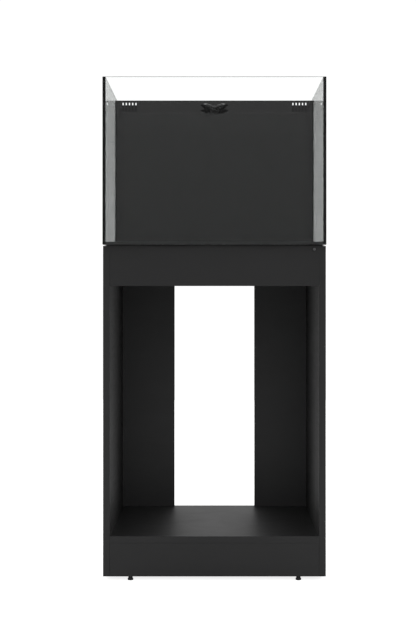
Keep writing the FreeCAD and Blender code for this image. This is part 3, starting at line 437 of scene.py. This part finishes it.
# Painted light: the back strips get a paler copy of the black laminate, standing in for more light on
# them.
painted_light_laminate = laminate("back_strip_painted_light", BACK_STRIP_PAINTED_LIGHT)
for side in ("left", "right"):
    NODES[f"{side}_back_strip"].data.materials[0] = painted_light_laminate


# ---------------------------------------------------------------- replacement pieces
def place_piece(name, mesh, body, replaced):
    """A piece that rides a body and stands in for one CAD node."""
    piece = bpy.data.objects.new(name, mesh)
    bpy.context.scene.collection.objects.link(piece)
    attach(piece, body)
    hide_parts(replaced)
    return piece


def sponge(side):
    """A block of open-cell foam with sheared edges and pits over its whole skin."""
    low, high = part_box(f"{side}_filter_sponge")
    size = high - low
    counts = [max(2, round(length / FOAM_STEP)) for length in size]
    mesh = bpy.data.meshes.new(f"{side}_sponge_foam")
    shape = bmesh.new()
    found = {}

    def corner(i, j, k):
        key = (i, j, k)
        if key not in found:
            at = Vector((low[n] + size[n] * key[n] / counts[n] for n in range(3)))
            found[key] = shape.verts.new(at)
        return found[key]

    for axis in range(3):
        across, up = (axis + 1) % 3, (axis + 2) % 3
        for level in (0, counts[axis]):
            for a in range(counts[across]):
                for b in range(counts[up]):
                    loop = []
                    for da, db in ((0, 0), (1, 0), (1, 1), (0, 1)):
                        key = [0, 0, 0]
                        key[axis], key[across], key[up] = level, a + da, b + db
                        loop.append(corner(*key))
                    shape.faces.new(loop if level else loop[::-1])
    shape.normal_update()
    middle = (low + high) / 2
    for vertex in shape.verts:
        spot = vertex.co.copy()
        inward = (middle - spot).normalized()
        distances, _ = noise.voronoi(spot * FOAM_PITS, distance_metric="DISTANCE", exponent=2.5)
        hole = max(0.0, 1 - distances[0] / FOAM_HOLE_REACH)
        rough = 0.5 + 0.5 * noise.noise(spot * FOAM_GRAIN)
        sunk = FOAM_PIT * (FOAM_GRAIN_SHARE * rough + FOAM_HOLE_SHARE * hole)
        vertex.co = spot - vertex.normal * sunk + inward * FOAM_PIT / FOAM_SHRINK
    shape.to_mesh(mesh)
    shape.free()
    mesh.materials.append(MATERIALS["filter_foam"])
    names = (f"{side}_sponge_foam", f"{side}_sponge", f"{side}_filter_sponge")
    piece = place_piece(names[0], mesh, names[1], names[2])


for side in ("left", "right"):
    sponge(side)


def long_edges(shape):
    """The edges that are still too long to carry the seam's waviness."""
    return [edge for edge in shape.edges if edge.calc_length() > SEAM_STEP * 2]


def front_seam():
    """The bead behind the front pane, with a hair of slack to the glass and a hand-tooled edge."""
    low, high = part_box("front_silicone")
    middle = (low.y + high.y) / 2
    mesh = NODES["front_silicone"].data.copy()
    mesh.name = "front_seam"
    shape = bmesh.new()
    shape.from_mesh(mesh)
    while edges := long_edges(shape):
        bmesh.ops.subdivide_edges(shape, edges=edges, cuts=1, use_grid_fill=True)
    for vertex in shape.verts:
        wobble = 0.5 + 0.5 * noise.noise(vertex.co * SEAM_WAVES)
        vertex.co.y = middle + (vertex.co.y - middle) * (SEAM_FILL + SEAM_SWELL * wobble)
    bmesh.ops.recalc_face_normals(shape, faces=shape.faces)
    shape.to_mesh(mesh)
    shape.free()
    mesh.materials.clear()
    mesh.materials.append(MATERIALS["black_silicone"])
    place_piece("front_seam", mesh, "stand", "front_silicone")


front_seam()


def latch_coil():
    """The latch's spring, copied to a mesh of its own that rides the stand."""
    mesh = NODES["latch_spring"].data.copy()
    mesh.name = "latch_coil"
    piece = place_piece("latch_coil", mesh, "stand", "latch_spring")
    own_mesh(piece)


latch_coil()


# ---------------------------------------------------------------- studio
def direct_view(tree):
    """1 for a ray from the camera or only through glass, and the count of glass faces passed."""
    path = tree.nodes.new("ShaderNodeLightPath")
    bounces = calculate(tree, "ADD", path.outputs["Glossy Depth"], path.outputs["Diffuse Depth"])
    unbounced = calculate(tree, "LESS_THAN", bounces, 0.5)
    through = calculate(tree, "MULTIPLY", path.outputs["Is Transmission Ray"], unbounced)
    seen = calculate(tree, "MAXIMUM", path.outputs["Is Camera Ray"], through)
    return seen, path.outputs["Transmission Depth"]


def studio_world():
    """White where it is seen directly or through glass. As light it is dimmer, with a softbox ahead."""
    world = bpy.data.worlds.new("studio")
    world.use_nodes = True
    tree = world.node_tree
    tree.nodes.clear()
    output = tree.nodes.new("ShaderNodeOutputWorld")
    coords = tree.nodes.new("ShaderNodeTexCoord")
    toward = axes(tree, coords.outputs["Generated"])
    level = remap(tree, toward["Z"], *HORIZON)
    above = remap(tree, toward["Z"], *SOFTBOX_ABOVE, smooth=True)
    ahead = remap(tree, toward["Y"], *SOFTBOX_AHEAD, smooth=True)
    softbox = calculate(tree, "MULTIPLY", above, ahead)
    behind = remap(tree, toward["Y"], *BEHIND, smooth=True)
    shade = remap(tree, toward["Y"], *SHADE_AHEAD, smooth=True)
    high = remap(tree, toward["Z"], *CEILING, smooth=True)
    around = calculate(tree, "ADD", level, softbox)
    extra = calculate(tree, "ADD", behind, high)
    light = calculate(tree, "ADD", around, extra)
    light = calculate(tree, "MULTIPLY", light, shade)
    seen, panes = direct_view(tree)
    soft = tree.nodes.new("ShaderNodeBackground")
    white = tree.nodes.new("ShaderNodeBackground")
    soft.inputs["Color"].default_value = (1, 1, 1, 1)
    white.inputs["Color"].default_value = (1, 1, 1, 1)
    brightness = remap(tree, panes, *PANES_AFTER, BACKDROP_WHITE, BACKDROP_THROUGH_PANES)
    feed(tree, white.inputs["Strength"], brightness)
    tree.links.new(light, soft.inputs["Strength"])
    mix = tree.nodes.new("ShaderNodeMixShader")
    tree.links.new(seen, mix.inputs["Fac"])
    tree.links.new(soft.outputs["Background"], mix.inputs[1])
    tree.links.new(white.outputs["Background"], mix.inputs[2])
    tree.links.new(mix.outputs["Shader"], output.inputs["Surface"])
    bpy.context.scene.world = world


def studio_floor():
    """A plain white floor, bright enough to run into the background."""
    mesh = bpy.data.meshes.new("studio_floor")
    corners = [(x * FLOOR_HALF, y * FLOOR_HALF, 0) for x, y in ((-1, -1), (1, -1), (1, 1), (-1, 1))]
    mesh.from_pydata(corners, [], [(0, 1, 2, 3)])
    floor = bpy.data.objects.new("studio_floor", mesh)
    bpy.context.scene.collection.objects.link(floor)
    material, tree, shader = new_material("studio_floor")
    finish_shader(tree, shader, FLOOR_GREY, FLOOR_ROUGHNESS)
    seen, _ = direct_view(tree)
    shader.inputs["Emission Color"].default_value = (1, 1, 1, 1)
    feed(tree, shader.inputs["Emission Strength"], calculate(tree, "MULTIPLY", seen, FLOOR_GLOW))
    mesh.materials.append(material)


def studio_camera():
    """A level camera in front of the tank, at a little above the cabinet's middle."""
    data = bpy.data.cameras.new("camera")
    camera = bpy.data.objects.new("camera", data)
    bpy.context.scene.collection.objects.link(camera)
    camera.location = CAMERA_PLACE
    camera.rotation_euler = (CAMERA_TILT, 0, 0)
    data.sensor_width = CAMERA_SENSOR
    data.lens = CAMERA_LENS
    data.shift_x, data.shift_y = CAMERA_SHIFT
    bpy.context.scene.camera = camera


studio_world()
studio_floor()
studio_camera()
bpy.context.scene.view_settings.view_transform = "Standard"
